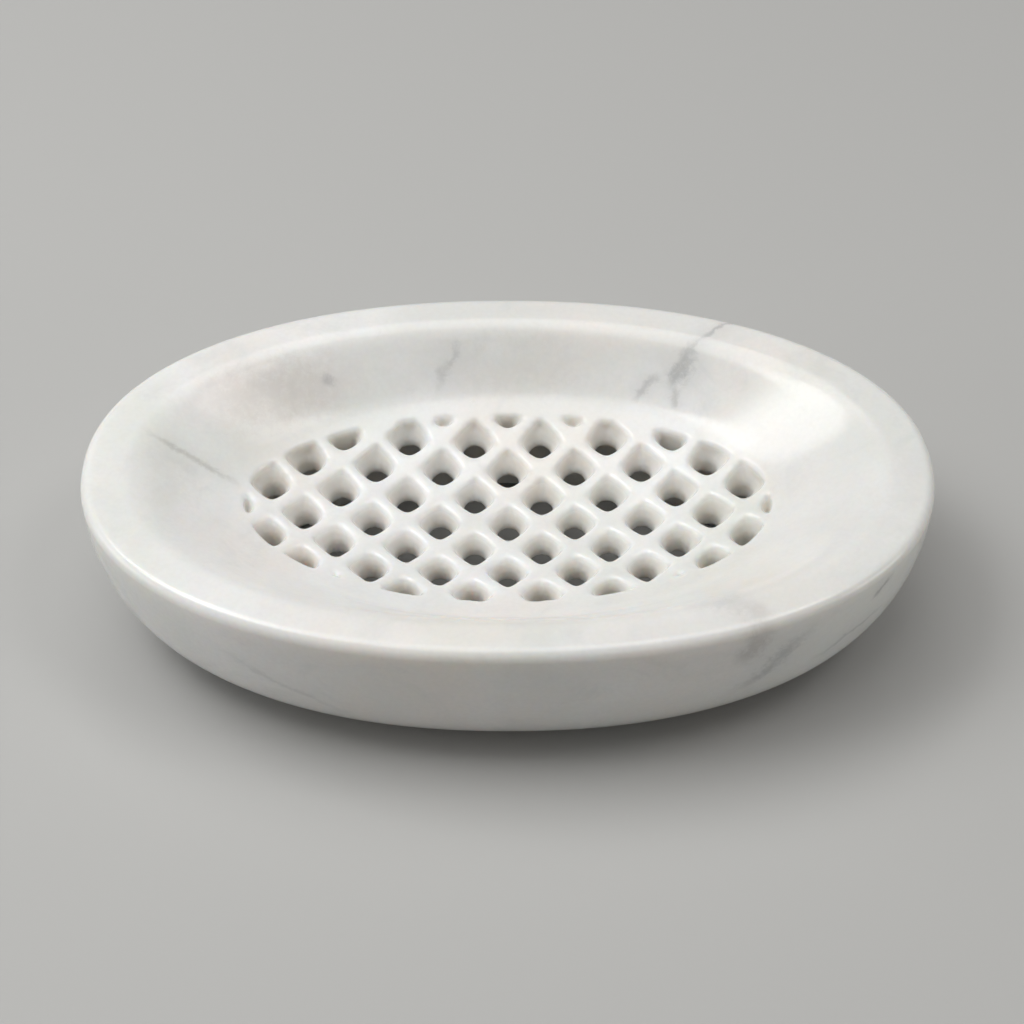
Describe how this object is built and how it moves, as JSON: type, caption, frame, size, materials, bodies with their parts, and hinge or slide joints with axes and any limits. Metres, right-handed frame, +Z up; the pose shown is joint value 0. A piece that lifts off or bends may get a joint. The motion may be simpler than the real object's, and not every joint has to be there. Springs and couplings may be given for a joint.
{
  "type": "soap dish",
  "caption": "Oval carved stone soap dish with a dished bowl, a pierced diamond-lattice drain floor, a relieved underside and stick-on rubber bumpers.",
  "frame": {"origin": "on the surface that the bumpers stand on, below the middle of the dish", "axes": "+X along the length of the oval, +Y across it, +Z up out of the bowl"},
  "size_m": [0.15, 0.0864, 0.033],
  "materials": {
    "marble": "polished white marble with soft grey veins",
    "bumper_rubber": "clear silicone rubber, satin",
    "adhesive_film": "acrylic foam tape, matte"
  },
  "bodies": {
    "root": {"marble_dish": "marble", "bumper_front_left": "bumper_rubber", "bumper_front_right": "bumper_rubber", "bumper_back_right": "bumper_rubber", "bumper_back_left": "bumper_rubber", "adhesive_front_left": "adhesive_film", "adhesive_front_right": "adhesive_film", "adhesive_back_right": "adhesive_film", "adhesive_back_left": "adhesive_film"}
  },
  "joints": []
}
